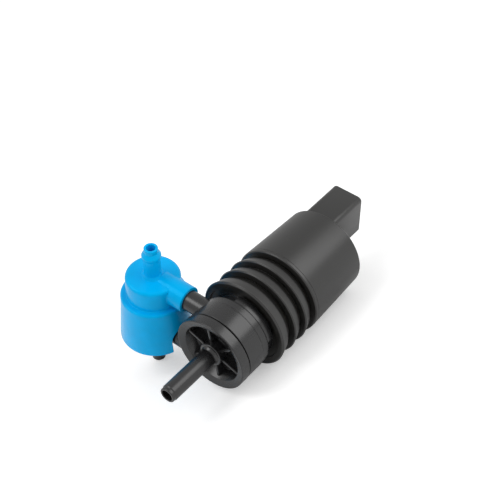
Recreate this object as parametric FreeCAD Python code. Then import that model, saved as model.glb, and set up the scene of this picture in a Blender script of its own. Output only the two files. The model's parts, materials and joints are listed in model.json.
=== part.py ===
import FreeCAD, Part
import math
import os

# Windshield washer pump with a twin-outlet valve.
# The pump axis is Y, from the inlet spigot at -Y to the electrical socket at +Y.
# The origin is on that axis, where the spigot leaves the hub of the inlet cover.
# Every piece is drawn with the valve axis upright. The last step rolls the whole
# pump about its axis until the lower nipple and the housing rest on one floor.

V = FreeCAD.Vector
Y_AXIS = V(0, 1, 0)
Z_AXIS = V(0, 0, 1)
X_AXIS = V(1, 0, 0)

# Clearances
slip = 0.05           # radial gap of pieces that slide together and are then fixed
running = 0.04        # radial gap of turning pieces in their bearings
brush_gap = 0.05      # air between a brush and the commutator
end_play = 0.2        # axial gap between stacked pieces of the motor

# Inlet cover
cover_over = 0.1      # outer radius beyond the pump head
cover_rim_y = -0.4    # front ring, slightly ahead of the hub face
cover_len = 4.7       # from the front ring to the joint with the pump head
cover_floor_t = 1.6   # wall between the recess and the pump chamber
cover_plug_len = 1.8  # locating plug inside the pump head
plug_wall = 1.0       # wall of the plug around the recess
rim_w = 2.95          # front ring around the recess
rim_dish = 1.0        # inner edge of the front ring behind its outer edge
hub_r = 4.6
hub_round = 0.4
rib_count = 6
rib_t = 1.0
rib_set_back = 1.5    # rib edges behind the hub face
rib_start_deg = 41.0  # first rib, from +X towards +Z
seam_bevel = 0.3      # bevels that form the joint groove

# Inlet spigot
spigot_r = 3.25
spigot_bore_r = 2.2
spigot_len = 23.0
spigot_tip_r = 3.0
spigot_tip_len = 1.3
eye_r = 2.6           # water eye in front of the impeller
eye_len = 2.2

# Pump head
head_r = 14.75
head_len = 11.2
band_y = 7.4          # start of the lower rear band, behind the joint
band_step = 0.25
rear_round = 2.0      # rounding towards the neck
head_wall = 3.75      # wall around the pump chamber
chamber_len = 7.4
head_web_t = 1.9      # wall behind the chamber
neck_step = 0.9       # neck below the collar
neck_len = 3.5
neck_wall = 2.6
collar_len = 4.0      # plug inside the motor housing
seal_boss_r = 5.4
lug_start_deg = 12.0  # latch lug on the neck, from +X towards +Z
lug_span_deg = 83.0
lug_h = 2.2           # height of the lug on the neck
lug_len = 2.7

# O-rings, drawn as they sit when squeezed
cover_ring_back = 1.85  # centre line inside the head's outer radius
cover_ring_t = 1.2
collar_groove_depth = 1.1
collar_groove_w = 1.6
stub_groove_depth = 0.8
stub_groove_w = 1.2

# Outlets of the pump head
outlet_y = 9.5        # plane of the lower outlet and of the valve axis
upper_y = 10.7        # plane of the upper outlet, nearer to the motor
upper_z = 6.7
stub_reach = 9.85     # stubs beyond the head's outer radius
upper_stub_r = 3.9
lower_stub_r = 3.4
stub_end_round = 1.2   # blind end of the lower stub under the head
channel_r = 1.7
port_w = 4.5          # port between the chamber and the lower channel
port_x = -4.0
port_depth = 1.4
port_over = 0.3       # port cut into the lower channel

# Valve
valve_wall = 0.75     # wall between the cap's chamber and the end of a socket
cap_r = 10.25
cap_top_z = 10.8
cap_round = 1.5
cap_wall = 1.3
cap_top_wall = 1.4
shoulder_z = 1.5
shoulder_w = 2.25     # skirt beyond the cap
skirt_round = 2.0
skirt_over = 0.8      # skirt below the base
skirt_flare = 1.25
upper_grip = 6.1      # length of stub inside an arm
upper_arm_wall = 1.15
lower_grip = 7.6
lower_arm_wall = 0.75
slot_gap = 0.8        # between the lower arm and the arch in the skirt
bead_depth = 0.45     # snap bead inside the skirt
bead_h = 1.0
base_clear = 0.45     # between the bead and the body of the base
base_flange_h = 2.2
base_wall = 1.3
base_under = 0.2      # base below the lower arm
base_bevel = 0.6
seat_r = 2.9
seat_gap = 0.3
passage_back = 0.6    # from the seat to the start of the water passage
disc_rim_t = 1.6
disc_rim_w = 2.0
disc_web_t = 0.7
disc_pad_r = 3.6
disc_pad_t = 1.4
disc_slope = 0.5      # slope between pad and web

# Nipples
nipple_r = 3.2
nipple_bore_r = 1.66
nipple_len = 13.4
lower_nipple_len = 16.6
nipple_root_r = 4.0
nipple_root_h = 1.3
barb_r = 3.6
barb_top = 1.9        # from the tip to the narrow end of the barb
barb_len = 2.9
barb_step = 0.15      # small step at either end of the barb
tip_r = 2.6

# Motor housing
housing_wall = 1.85    # wall at the roots of the lips
flange_over = 0.2      # flange beyond the lips
flange_set_back = 2.9  # from the rear of the pump head to the flange
first_lip = 7.5        # from the flange to the first lip
lip_pitch = 6.25
lip_count = 3
lip_depth = 3.0
lip_edge = 0.35
barrel_len = 29.1      # from the last lip to the rear shoulder
barrel_draft = 1.05    # taper of the barrel over its length
rear_bevel = 0.6
rear_wall = 2.4
face_ring_w = 2.6      # raised ring on the front of the flange
face_ring_h = 0.6
band_line = 1.4        # fine groove behind the last lip
band_line_depth = 0.2

# Electrical socket
socket_len = 18.9
socket_w = 13.0
socket_h = 17.8
socket_x = -3.1       # middle, beside the pump axis
socket_wall = 1.4
socket_bottom_z = -4.0
socket_round = 1.8
blade_w = 2.8
blade_t = 0.8
blade_pitch = 5.2
blade_aside = 1.1      # blades beside the middle of the socket
blade_short = 5.5      # blade tips behind the mouth

# Motor
can_gap = 0.15        # between the motor can and the housing
can_space = 4.5       # between the motor can and the rear wall
can_wall = 0.8
can_boss_r = 4.2
can_boss_len = 1.8
shaft_r = 1.0
bearing_r = 3.4
bearing_len = 3.1
rear_bearing_r = 2.6
magnet_t = 2.6
magnet_start = 4.8
magnet_over = 3.0     # magnets beyond the core at either end
magnet_span_deg = 130.0
air_gap = 0.55
tooth_count = 3
tooth_w = 3.2
core_hub_wall = 2.0
shoe_t = 1.3
shoe_span_deg = 98.0
coil_w = 2.2
coil_h = 3.8
coil_round = 0.7      # rounding as a share of the coil's width
coil_over = 1.8       # end turns beyond the core
coil_back = 0.9       # from the core's hub to the coils
comm_len = 6.0
comm_hub_r = 2.4
comm_r = 3.4
comm_gap_deg = 8.0
comm_space = 2.2
hook_h = 1.0          # hooks that hold the coil ends
hook_len = 0.6
hook_deg = 30.0
plate_space = 1.6     # between the commutator and the end plate
plate_t = 2.4
plate_boss_r = 3.6
brush_w = 3.0
brush_h = 3.0
brush_seat = 1.0      # depth of the curved end of a brush
bearing_over = 0.6    # rear bearing beyond the end of the motor can
arm_t = 0.3
arm_w = 3.0
post_x = 7.0
post_w = 2.0
vane_count = 6
vane_t = 1.0
impeller_side = 2.0   # between the impeller and the chamber's wall
impeller_h = 4.5
impeller_gap = 0.5
impeller_disc_t = 1.0
impeller_hub_r = 2.8
impeller_nose = 1.0   # bevelled nose ahead of the shaft
seal_r = 4.0
seal_len = 2.4
seal_lip_r = 2.2
seal_lip_t = 0.5
seal_lip_len = 1.2
seal_web = 1.0        # wall between the chamber and the seal
shaft_hole_gap = 0.4
shaft_over = 0.8      # shaft beyond the motor can
boss_over = 0.8       # bearing boss beyond the motor can
past = 1.0            # cuts that run past a face

# Radii that follow, from the shaft outwards
core_hub_r = shaft_r + core_hub_wall
core_r = core_hub_r + coil_back + coil_h + slip + shoe_t
can_r = core_r + air_gap + magnet_t + can_wall
housing_bore_r = can_r + can_gap
collar_r = housing_bore_r - slip
neck_r = collar_r - neck_step
neck_bore_r = neck_r - neck_wall
lug_r = neck_r + lug_h
lip_r = housing_bore_r + housing_wall + lip_depth
flange_r = lip_r + flange_over
barrel_rear_r = lip_r - barrel_draft
chamber_r = head_r - head_wall
impeller_r = chamber_r - impeller_side
cover_r = head_r + cover_over
recess_r = cover_r - rim_w
cover_ring_r = head_r - cover_ring_back
skirt_r = cap_r + shoulder_w
skirt_bottom_r = skirt_r + skirt_flare
skirt_bore_r = skirt_r - cap_wall
bead_r = skirt_bore_r - bead_depth
base_body_r = bead_r - base_clear
base_flange_r = skirt_bore_r - 2 * slip
cap_bore_r = base_flange_r - disc_rim_w
upper_arm_r = upper_stub_r + slip + upper_arm_wall
lower_arm_r = lower_stub_r + slip + lower_arm_wall
slot_r = lower_arm_r + slot_gap

# Places that follow from the sizes
stub_end_x = -head_r - stub_reach
upper_arm_end_x = stub_end_x + upper_grip
lower_arm_end_x = stub_end_x + lower_grip
valve_x = stub_end_x - slip - valve_wall - cap_bore_r
lower_z = port_over - chamber_r - port_depth - channel_r
base_bottom_z = lower_z - lower_arm_r - base_under
skirt_bottom_z = base_bottom_z - skirt_over
seam_y = cover_rim_y + cover_len
chamber_front_y = seam_y + cover_plug_len
chamber_rear_y = seam_y + chamber_len
head_rear_y = seam_y + head_len
neck_end_y = head_rear_y + neck_len
collar_end_y = neck_end_y + collar_len
flange_y = head_rear_y + flange_set_back
last_lip_y = flange_y + first_lip + (lip_count - 1) * lip_pitch
shoulder_y = last_lip_y + barrel_len
rear_y = shoulder_y + rear_bevel
mouth_y = rear_y + socket_len
can_front_y = collar_end_y + end_play
can_rear_y = rear_y - rear_wall - can_space
plate_y = can_rear_y - plate_t - end_play
magnet_y = can_front_y + magnet_start
core_y = magnet_y + magnet_over
comm_y = plate_y - plate_space - comm_len
core_len = comm_y - comm_space - coil_over - core_y
magnet_len = core_len + 2 * magnet_over
impeller_y = chamber_rear_y - impeller_gap - impeller_h
disc_top_z = shoulder_z - cap_wall
disc_bottom_z = disc_top_z - disc_rim_t
disc_middle_z = disc_top_z - disc_rim_t / 2
blade_x = socket_x - blade_aside
blade_z = socket_bottom_z + socket_h / 2
brush_y = comm_y + comm_len / 2


def profile(points):
    """Close a list of points in the XY plane and make a face of it."""
    wire = Part.makePolygon([V(*p) for p in points] + [V(*points[0])])
    return Part.Face(wire)


def turn_y(points):
    """Turn (radius, y) points about the pump axis."""
    face = profile([(r, y, 0) for r, y in points])
    return face.revolve(V(0, 0, 0), Y_AXIS, 360)


def turn_z(points):
    """Turn (radius, z) points about the valve axis."""
    face = profile([(r, 0, z) for r, z in points])
    solid = face.revolve(V(0, 0, 0), Z_AXIS, 360)
    return moved(solid, V(valve_x, outlet_y, 0))


def rod_y(radius, start, end, x=0.0, z=0.0):
    return Part.makeCylinder(radius, end - start, V(x, start, z), Y_AXIS)


def rod_x(radius, start, end, y, z):
    return Part.makeCylinder(radius, end - start, V(start, y, z), X_AXIS)


def rod_z(radius, start, end):
    return Part.makeCylinder(radius, end - start, V(valve_x, outlet_y, start), Z_AXIS)


def block(x, y, z):
    """Box from three (low, high) pairs."""
    return Part.makeBox(x[1] - x[0], y[1] - y[0], z[1] - z[0], V(x[0], y[0], z[0]))


def moved(shape, offset):
    copy = shape.copy()
    copy.translate(offset)
    return copy


def turned(shape, degrees):
    """Turn about the pump axis, from +X towards +Z."""
    copy = shape.copy()
    copy.rotate(V(0, 0, 0), Y_AXIS, -degrees)
    return copy


def ring_sector(inner, outer, y, start_deg, span_deg):
    """Part of a ring about the pump axis, between two y planes."""
    face = profile([(inner, y[0], 0), (outer, y[0], 0), (outer, y[1], 0), (inner, y[1], 0)])
    return turned(face.revolve(V(0, 0, 0), Y_AXIS, -span_deg), start_deg)


def o_ring(centre, axis, radius, thickness):
    return Part.makeTorus(radius, thickness / 2, centre, axis)


def circular_edges(shape, radius, test):
    """Full or partial circles of one radius whose centre passes a test."""
    found = []
    for edge in shape.Edges:
        curve = edge.Curve
        if isinstance(curve, Part.Circle) and abs(curve.Radius - radius) < 0.01 and test(curve.Center):
            found.append(edge)
    return found


def inlet_cover():
    plug_r = chamber_r - slip
    floor_y = chamber_front_y - cover_floor_t
    floor_r = plug_r - plug_wall
    body = turn_y([
        (0, floor_y), (floor_r, floor_y), (recess_r, cover_rim_y + rim_dish),
        (cover_r - seam_bevel, cover_rim_y), (cover_r, cover_rim_y + seam_bevel),
        (cover_r, seam_y - seam_bevel), (cover_r - seam_bevel, seam_y),
        (plug_r, seam_y), (plug_r, chamber_front_y), (0, chamber_front_y)])
    hub = rod_y(hub_r, 0, floor_y + slip)
    hub = hub.makeFillet(hub_round, circular_edges(hub, hub_r, lambda c: c.y < hub_round))
    spigot = turn_y([
        (0, -spigot_len), (spigot_tip_r - seam_bevel, -spigot_len),
        (spigot_tip_r, seam_bevel - spigot_len), (spigot_tip_r, spigot_tip_len - spigot_len),
        (spigot_r, spigot_tip_len - spigot_len + seam_bevel), (spigot_r, floor_y), (0, floor_y)])
    rib_end_y = floor_y + slip
    rib = block((0, recess_r), (rib_set_back, rib_end_y), (-rib_t / 2, rib_t / 2))
    rim_y = cover_rim_y + rim_dish
    rib_limit = turn_y([(0, rim_y), (recess_r, rim_y), (floor_r, rib_end_y), (0, rib_end_y)])
    rib = rib.common(rib_limit)
    ribs = [turned(rib, rib_start_deg + k * 360 / rib_count) for k in range(rib_count)]
    solid = body.fuse([hub, spigot] + ribs)
    bore = rod_y(spigot_bore_r, -spigot_len, chamber_front_y)
    eye = rod_y(eye_r, chamber_front_y - eye_len, chamber_front_y)
    return solid.cut([bore, eye]).removeSplitter()


def outlet_stub(radius, y, z, inner_x):
    """Outlet tube with a groove for its O-ring, from its end to a plane in the head."""
    tube = rod_x(radius, stub_end_x, inner_x, y, z)
    tube = tube.makeChamfer(seam_bevel, circular_edges(tube, radius, lambda c: c.x < stub_end_x + slip))
    start = stub_end_x + stub_groove_w
    groove = rod_x(radius, start, start + stub_groove_w, y, z)
    core = rod_x(radius - stub_groove_depth, start, start + stub_groove_w, y, z)
    return tube.cut(groove.cut(core))


def pump_head():
    band_r = head_r - band_step
    outer = turn_y([
        (0, seam_y), (head_r - seam_bevel, seam_y), (head_r, seam_y + seam_bevel),
        (head_r, seam_y + band_y), (band_r, seam_y + band_y + band_step),
        (band_r, head_rear_y), (0, head_rear_y)])
    outer = outer.makeFillet(rear_round, circular_edges(outer, band_r, lambda c: c.y > head_rear_y - slip))
    groove_y = neck_end_y + (collar_len - collar_groove_w) / 2
    groove_r = collar_r - collar_groove_depth
    neck = turn_y([
        (0, seam_y + chamber_len), (neck_r, seam_y + chamber_len), (neck_r, neck_end_y),
        (collar_r, neck_end_y), (collar_r, groove_y), (groove_r, groove_y),
        (groove_r, groove_y + collar_groove_w), (collar_r, groove_y + collar_groove_w),
        (collar_r, collar_end_y - seam_bevel), (collar_r - seam_bevel, collar_end_y), (0, collar_end_y)])
    lug_y = (head_rear_y - rear_round, head_rear_y + lug_len)
    lugs = [ring_sector(neck_r - slip, lug_r, lug_y, start, lug_span_deg)
            for start in (lug_start_deg, lug_start_deg + 180)]
    upper = outlet_stub(upper_stub_r, upper_y, upper_z, 0.0)
    lower = outlet_stub(lower_stub_r, outlet_y, lower_z, port_x + port_w)
    lower = lower.makeFillet(stub_end_round, circular_edges(lower, lower_stub_r, lambda c: c.x > port_x))
    solid = outer.fuse([neck, upper, lower] + lugs)

    web_rear_y = chamber_rear_y + head_web_t
    neck_hollow = rod_y(neck_bore_r, web_rear_y, collar_end_y)
    seal_end_y = chamber_rear_y + seal_web + seal_len
    neck_hollow = neck_hollow.cut(rod_y(seal_boss_r, web_rear_y, seal_end_y))
    ring_in = cover_ring_r - cover_ring_t / 2 - slip
    ring_out = cover_ring_r + cover_ring_t / 2 + slip
    cuts = [
        rod_y(chamber_r, seam_y, chamber_rear_y),
        neck_hollow,
        rod_y(seal_r, chamber_rear_y + seal_web, seal_end_y),
        rod_y(shaft_r + shaft_hole_gap, chamber_rear_y, chamber_rear_y + seal_web),
        turn_y([(ring_in, seam_y), (ring_out, seam_y), (ring_out, seam_y + cover_ring_t),
                (ring_in, seam_y + cover_ring_t)]),
        rod_x(channel_r, stub_end_x, 0.0, upper_y, upper_z),
        rod_x(channel_r, stub_end_x, port_x + port_w / 2, outlet_y, lower_z),
        block((port_x - port_w / 2, port_x + port_w / 2),
              (outlet_y - channel_r, outlet_y + channel_r),
              (-chamber_r - port_depth, -chamber_r / 2)),
    ]
    return solid.cut(cuts).removeSplitter()


def impeller():
    disc_y = impeller_y + impeller_h - impeller_disc_t
    disc = rod_y(impeller_r, disc_y, impeller_y + impeller_h)
    nose_r = impeller_hub_r - impeller_nose
    hub = turn_y([
        (0, impeller_y), (nose_r, impeller_y), (impeller_hub_r, impeller_y + impeller_nose),
        (impeller_hub_r, disc_y + slip), (0, disc_y + slip)])
    vane = block((nose_r, impeller_r), (impeller_y, disc_y + slip), (-vane_t / 2, vane_t / 2))
    vane = vane.common(rod_y(impeller_r, impeller_y, disc_y + slip))
    vanes = [turned(vane, k * 360 / vane_count) for k in range(vane_count)]
    bore = rod_y(shaft_r, impeller_y + impeller_nose, impeller_y + impeller_h)
    return disc.fuse([hub] + vanes).cut(bore).removeSplitter()


def shaft():
    return rod_y(shaft_r, impeller_y + impeller_nose, can_rear_y + shaft_over)


def shaft_seal():
    start = chamber_rear_y + seal_web
    body = rod_y(seal_r, start, start + seal_len)
    lip = turn_y([
        (0, start - slip), (shaft_r + running, start - slip), (shaft_r + running, start + seal_lip_t),
        (seal_lip_r, start + seal_lip_len), (seal_lip_r, start + seal_len + slip),
        (0, start + seal_len + slip)])
    return body.cut(lip)


def motor_housing():
    points = [
        (0, flange_y + face_ring_h), (flange_r - face_ring_w, flange_y + face_ring_h),
        (flange_r - face_ring_w, flange_y), (flange_r - lip_edge, flange_y),
        (flange_r, flange_y + lip_edge)]
    for k in range(lip_count):
        lip_y = flange_y + first_lip + k * lip_pitch
        points += [(lip_r - lip_depth, lip_y), (lip_r - lip_edge, lip_y), (lip_r, lip_y + lip_edge)]
    line_y = last_lip_y + band_line
    points += [
        (lip_r, line_y), (lip_r - band_line_depth, line_y + band_line_depth / 2),
        (lip_r, line_y + band_line_depth), (barrel_rear_r, shoulder_y),
        (barrel_rear_r - rear_bevel, rear_y), (0, rear_y)]
    barrel = turn_y(points)
    x = (socket_x - socket_w / 2, socket_x + socket_w / 2)
    z = (socket_bottom_z, socket_bottom_z + socket_h)
    socket = block(x, (rear_y - rear_wall / 2, mouth_y), z)
    long_edges = [e for e in socket.Edges if abs(e.tangentAt(e.FirstParameter).y) > 0.9]
    socket = socket.makeFillet(socket_round, long_edges)
    hollow = block((x[0] + socket_wall, x[1] - socket_wall), (rear_y, mouth_y),
                   (z[0] + socket_wall, z[1] - socket_wall))
    bore = rod_y(housing_bore_r, flange_y, rear_y - rear_wall)
    return barrel.fuse(socket).cut([hollow, bore] + blades()).removeSplitter()


def blades():
    """Both terminal blades, lower first."""
    y = (plate_y + plate_t / 2, mouth_y - blade_short)
    made = []
    for z in (blade_z - blade_pitch / 2, blade_z + blade_pitch / 2):
        blade = block((blade_x - blade_t / 2, blade_x + blade_t / 2), y, (z - blade_w / 2, z + blade_w / 2))
        tip = [e for e in blade.Edges
               if abs(e.tangentAt(e.FirstParameter).x) > 0.9 and e.CenterOfMass.y > y[1] - slip]
        made.append(blade.makeChamfer(blade_w / 4, tip))
    return made


def motor_can():
    inner_r = can_r - can_wall
    shell = turn_y([
        (bearing_r, can_front_y - can_boss_len), (can_boss_r, can_front_y - can_boss_len),
        (can_boss_r, can_front_y), (can_r - can_wall, can_front_y), (can_r, can_front_y + can_wall),
        (can_r, can_rear_y), (inner_r, can_rear_y), (inner_r, can_front_y + can_wall),
        (bearing_r, can_front_y + can_wall)])
    return shell


def bearing(radius, start, length):
    return rod_y(radius, start, start + length).cut(rod_y(shaft_r + running, start, start + length))


def magnet(centre_deg):
    outer = can_r - can_wall
    start = centre_deg - magnet_span_deg / 2
    return ring_sector(outer - magnet_t, outer, (magnet_y, magnet_y + magnet_len), start, magnet_span_deg)


def tooth_angles():
    return [90 + k * 360 / tooth_count for k in range(tooth_count)]


def armature_core():
    y = (core_y, core_y + core_len)
    parts = []
    for angle in tooth_angles():
        tooth = block((0, core_r - shoe_t / 2), y, (-tooth_w / 2, tooth_w / 2))
        shoe = ring_sector(core_r - shoe_t, core_r, y, -shoe_span_deg / 2, shoe_span_deg)
        parts.append(turned(tooth.fuse(shoe), angle))
    hub = rod_y(core_hub_r, y[0], y[1])
    return hub.fuse(parts).cut(rod_y(shaft_r, y[0], y[1])).removeSplitter()


def windings():
    half = tooth_w / 2 + coil_w
    y = (core_y - coil_over, core_y + core_len + coil_over)
    x = (core_hub_r + coil_back, core_r)
    coil = block(x, y, (-half, half))
    corners = [e for e in coil.Edges if abs(e.tangentAt(e.FirstParameter).x) > 0.9]
    coil = coil.makeFillet(coil_w * coil_round, corners)
    coil = coil.common(rod_y(core_r - shoe_t - slip, y[0], y[1]))
    coil = coil.cut(block((0, core_r), (core_y, core_y + core_len), (-tooth_w / 2, tooth_w / 2)))
    return Part.makeCompound([turned(coil, angle) for angle in tooth_angles()])


def commutator_hub():
    return rod_y(comm_hub_r, comm_y, comm_y + comm_len).cut(rod_y(shaft_r, comm_y, comm_y + comm_len))


def commutator_bars():
    span = 360 / tooth_count - comm_gap_deg
    bars = []
    for angle in tooth_angles():
        bar = ring_sector(comm_hub_r, comm_r, (comm_y, comm_y + comm_len), angle - span / 2, span)
        hook = ring_sector(comm_hub_r, comm_r + hook_h, (comm_y, comm_y + hook_len),
                           angle - hook_deg / 2, hook_deg)
        bars.append(bar.fuse(hook).removeSplitter())
    return Part.makeCompound(bars)


def end_plate():
    plate_r = can_r - can_wall - slip
    disc = rod_y(plate_r, plate_y, plate_y + plate_t)
    boss = rod_y(plate_boss_r, plate_y, can_rear_y + boss_over)
    post_y = (brush_y - arm_w / 2, plate_y + slip)
    posts = [block((post_x - post_w / 2, post_x + post_w / 2), post_y, z)
             for z in (post_z(1), post_z(-1))]
    bore = rod_y(rear_bearing_r, plate_y, can_rear_y + boss_over)
    return disc.fuse([boss] + posts).cut([bore] + blades()).removeSplitter()


def brush_z():
    """Distance of a brush's outer end from the pump axis."""
    return comm_r + brush_gap + brush_h


def post_z(side):
    """Height range of the post that carries a brush arm."""
    inner = brush_z() + arm_t
    return tuple(sorted((side * inner, side * (inner + post_w))))


def brush(side):
    x = (-brush_w / 2, brush_w / 2)
    z = tuple(sorted((side * (comm_r - brush_seat), side * brush_z())))
    stick = block(x, (brush_y - brush_w / 2, brush_y + brush_w / 2), z)
    return stick.cut(rod_y(comm_r + brush_gap, comm_y - past, comm_y + comm_len + past))


def brush_arm(side):
    z = tuple(sorted((side * brush_z(), side * (brush_z() + arm_t))))
    return block((-brush_w / 2, post_x + post_w / 2), (brush_y - arm_w / 2, brush_y + arm_w / 2), z)


def nipple(root_z, length, side):
    """Hose nipple with a rounded barb, on the valve axis, pointing up or down."""
    tip = length
    barb = tip - barb_top - barb_len
    points = [
        (0, -slip), (nipple_root_r, -slip), ((nipple_root_r + nipple_r) / 2, nipple_root_h / 3),
        (nipple_r, nipple_root_h), (nipple_r, barb), (nipple_r + barb_step, barb),
        (barb_r, barb + barb_len / 3), (barb_r, barb + barb_len / 2),
        (tip_r + barb_step, barb + barb_len), (tip_r, barb + barb_len),
        (tip_r, tip - seam_bevel), (tip_r - seam_bevel, tip), (0, tip)]
    return turn_z([(r, root_z + side * z) for r, z in points])


def valve_cap():
    outer = turn_z([(0, shoulder_z), (cap_r, shoulder_z), (cap_r, cap_top_z), (0, cap_top_z)])
    outer = outer.makeFillet(cap_round, circular_edges(outer, cap_r, lambda c: c.z > cap_top_z - slip))
    skirt = turn_z([(0, shoulder_z), (skirt_r, shoulder_z), (skirt_r, disc_bottom_z),
                    (skirt_bottom_r, skirt_bottom_z), (0, skirt_bottom_z)])
    skirt = skirt.makeFillet(skirt_round, circular_edges(skirt, skirt_r, lambda c: c.z > shoulder_z - slip))
    arm = rod_x(upper_arm_r, valve_x + cap_r / 3, upper_arm_end_x, upper_y, upper_z)
    solid = outer.fuse([skirt, arm, nipple(cap_top_z, nipple_len, 1)])

    chamber = rod_z(cap_bore_r, disc_top_z, cap_top_z - cap_top_wall)
    seat = rod_z(seat_r, disc_middle_z + disc_pad_t / 2 + seat_gap, cap_top_z)
    chamber = chamber.cut(seat)
    bead_z = disc_bottom_z - base_flange_h - slip
    inner_bottom_r = skirt_bottom_r - cap_wall
    hollow = turn_z([
        (0, disc_top_z), (skirt_bore_r, disc_top_z), (skirt_bore_r, bead_z),
        (bead_r, bead_z - bead_h / 4), (bead_r, bead_z - bead_h * 3 / 4), (skirt_bore_r, bead_z - bead_h),
        (inner_bottom_r, skirt_bottom_z), (0, skirt_bottom_z)])
    socket = rod_x(upper_stub_r + slip, stub_end_x - slip, upper_arm_end_x, upper_y, upper_z)
    passage = rod_x(channel_r, valve_x + seat_r + passage_back, stub_end_x, upper_y, upper_z)
    slot = rod_x(slot_r, valve_x + seat_r, lower_arm_end_x, outlet_y, lower_z)
    slot_foot = block((valve_x + seat_r, lower_arm_end_x), (outlet_y - slot_r, outlet_y + slot_r),
                      (skirt_bottom_z - past, lower_z))
    bore = rod_z(nipple_bore_r, disc_top_z, cap_top_z + nipple_len)
    cuts = [chamber, hollow, socket, passage, slot.fuse(slot_foot), bore]
    return solid.cut(cuts).removeSplitter()


def valve_base():
    flange_bottom = disc_bottom_z - base_flange_h
    body = turn_z([
        (0, disc_bottom_z), (base_flange_r, disc_bottom_z), (base_flange_r, flange_bottom),
        (base_body_r, flange_bottom - base_bevel), (base_body_r, base_bottom_z + base_bevel),
        (base_body_r - base_bevel, base_bottom_z), (0, base_bottom_z)])
    arm = rod_x(lower_arm_r, valve_x + base_body_r / 2, lower_arm_end_x, outlet_y, lower_z)
    solid = body.fuse([arm, nipple(base_bottom_z, lower_nipple_len, -1)])
    chamber = rod_z(base_body_r - base_wall, base_bottom_z + base_wall, disc_bottom_z)
    seat = rod_z(seat_r, base_bottom_z, disc_middle_z - disc_pad_t / 2 - seat_gap)
    chamber = chamber.cut(seat)
    socket = rod_x(lower_stub_r + slip, stub_end_x - slip, lower_arm_end_x, outlet_y, lower_z)
    passage = rod_x(channel_r, valve_x + seat_r + passage_back, stub_end_x, outlet_y, lower_z)
    bore = rod_z(nipple_bore_r, base_bottom_z - lower_nipple_len, disc_bottom_z)
    return solid.cut([chamber, socket, passage, bore]).removeSplitter()


def valve_diaphragm():
    web_top = disc_middle_z + disc_web_t / 2
    web_bottom = disc_middle_z - disc_web_t / 2
    pad_top = disc_middle_z + disc_pad_t / 2
    pad_bottom = disc_middle_z - disc_pad_t / 2
    web_r = base_flange_r - disc_rim_w
    return turn_z([
        (0, pad_top), (disc_pad_r, pad_top), (disc_pad_r + disc_slope, web_top), (web_r, web_top),
        (web_r, disc_top_z), (base_flange_r, disc_top_z), (base_flange_r, disc_bottom_z),
        (web_r, disc_bottom_z), (web_r, web_bottom), (disc_pad_r + disc_slope, web_bottom),
        (disc_pad_r, pad_bottom), (0, pad_bottom)])


def stub_seal(radius, y, z):
    """O-ring between an outlet stub and its socket."""
    inner = radius - stub_groove_depth
    outer = radius + slip
    centre = V(stub_end_x + stub_groove_w * 1.5, y, z)
    return o_ring(centre, X_AXIS, (inner + outer) / 2, outer - inner)


def collar_seal():
    inner = collar_r - collar_groove_depth
    centre = V(0, neck_end_y + collar_len / 2, 0)
    return o_ring(centre, Y_AXIS, (inner + housing_bore_r) / 2, housing_bore_r - inner)


def rest_roll():
    """Degrees of roll that bring the lower nipple's end and the flange onto one floor."""
    x = valve_x + (tip_r - seam_bevel)
    z = base_bottom_z - lower_nipple_len
    distance = math.hypot(x, z)
    lean = math.atan2(-x, -z)
    return math.degrees(math.acos(flange_r / distance) - lean)


def seated(shape):
    """Roll a piece from the drawing position to the resting position."""
    copy = shape.copy()
    copy.rotate(V(0, 0, 0), Y_AXIS, rest_roll())
    return copy


lower_blade, upper_blade = blades()
pieces = {
    "inlet_cover": inlet_cover(),
    "cover_seal": o_ring(V(0, seam_y + cover_ring_t / 2, 0), Y_AXIS, cover_ring_r, cover_ring_t),
    "pump_head": pump_head(),
    "collar_seal": collar_seal(),
    "upper_stub_seal": stub_seal(upper_stub_r, upper_y, upper_z),
    "lower_stub_seal": stub_seal(lower_stub_r, outlet_y, lower_z),
    "shaft_seal": shaft_seal(),
    "impeller": impeller(),
    "shaft": shaft(),
    "motor_housing": motor_housing(),
    "motor_can": motor_can(),
    "front_bearing": bearing(bearing_r, can_front_y - can_boss_len, bearing_len),
    "rear_bearing": bearing(rear_bearing_r, plate_y, plate_t + end_play + bearing_over),
    "magnet_left": magnet(180),
    "magnet_right": magnet(0),
    "armature_core": armature_core(),
    "windings": windings(),
    "commutator_hub": commutator_hub(),
    "commutator_bars": commutator_bars(),
    "end_plate": end_plate(),
    "brush_upper": brush(1),
    "brush_lower": brush(-1),
    "brush_arm_upper": brush_arm(1),
    "brush_arm_lower": brush_arm(-1),
    "terminal_upper": upper_blade,
    "terminal_lower": lower_blade,
    "valve_cap": valve_cap(),
    "valve_base": valve_base(),
    "valve_diaphragm": valve_diaphragm(),
}

os.makedirs("parts", exist_ok=True)
for node, shape in pieces.items():
    seated(shape).exportStep("parts/" + node + ".step")
print("roll", round(rest_roll(), 4), "pieces", len(pieces))
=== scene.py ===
# %% [markdown]
# # A windshield washer pump, dressed for its portrait
# The pump lies on its side: a smooth spigot at the front, a ribbed black housing behind it
# and a blue valve with two hose nipples beside the head. The solids come from the packed
# model, which gives every place and size. This lesson gives the outside its fine roundings,
# its repeated ribs and its finishes. Blender works in metres. Outlines are easier to read in
# millimetres, so the helpers below take those and convert them.

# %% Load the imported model
import bpy
import bmesh
import json
import math
from mathutils import Matrix, Vector

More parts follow.
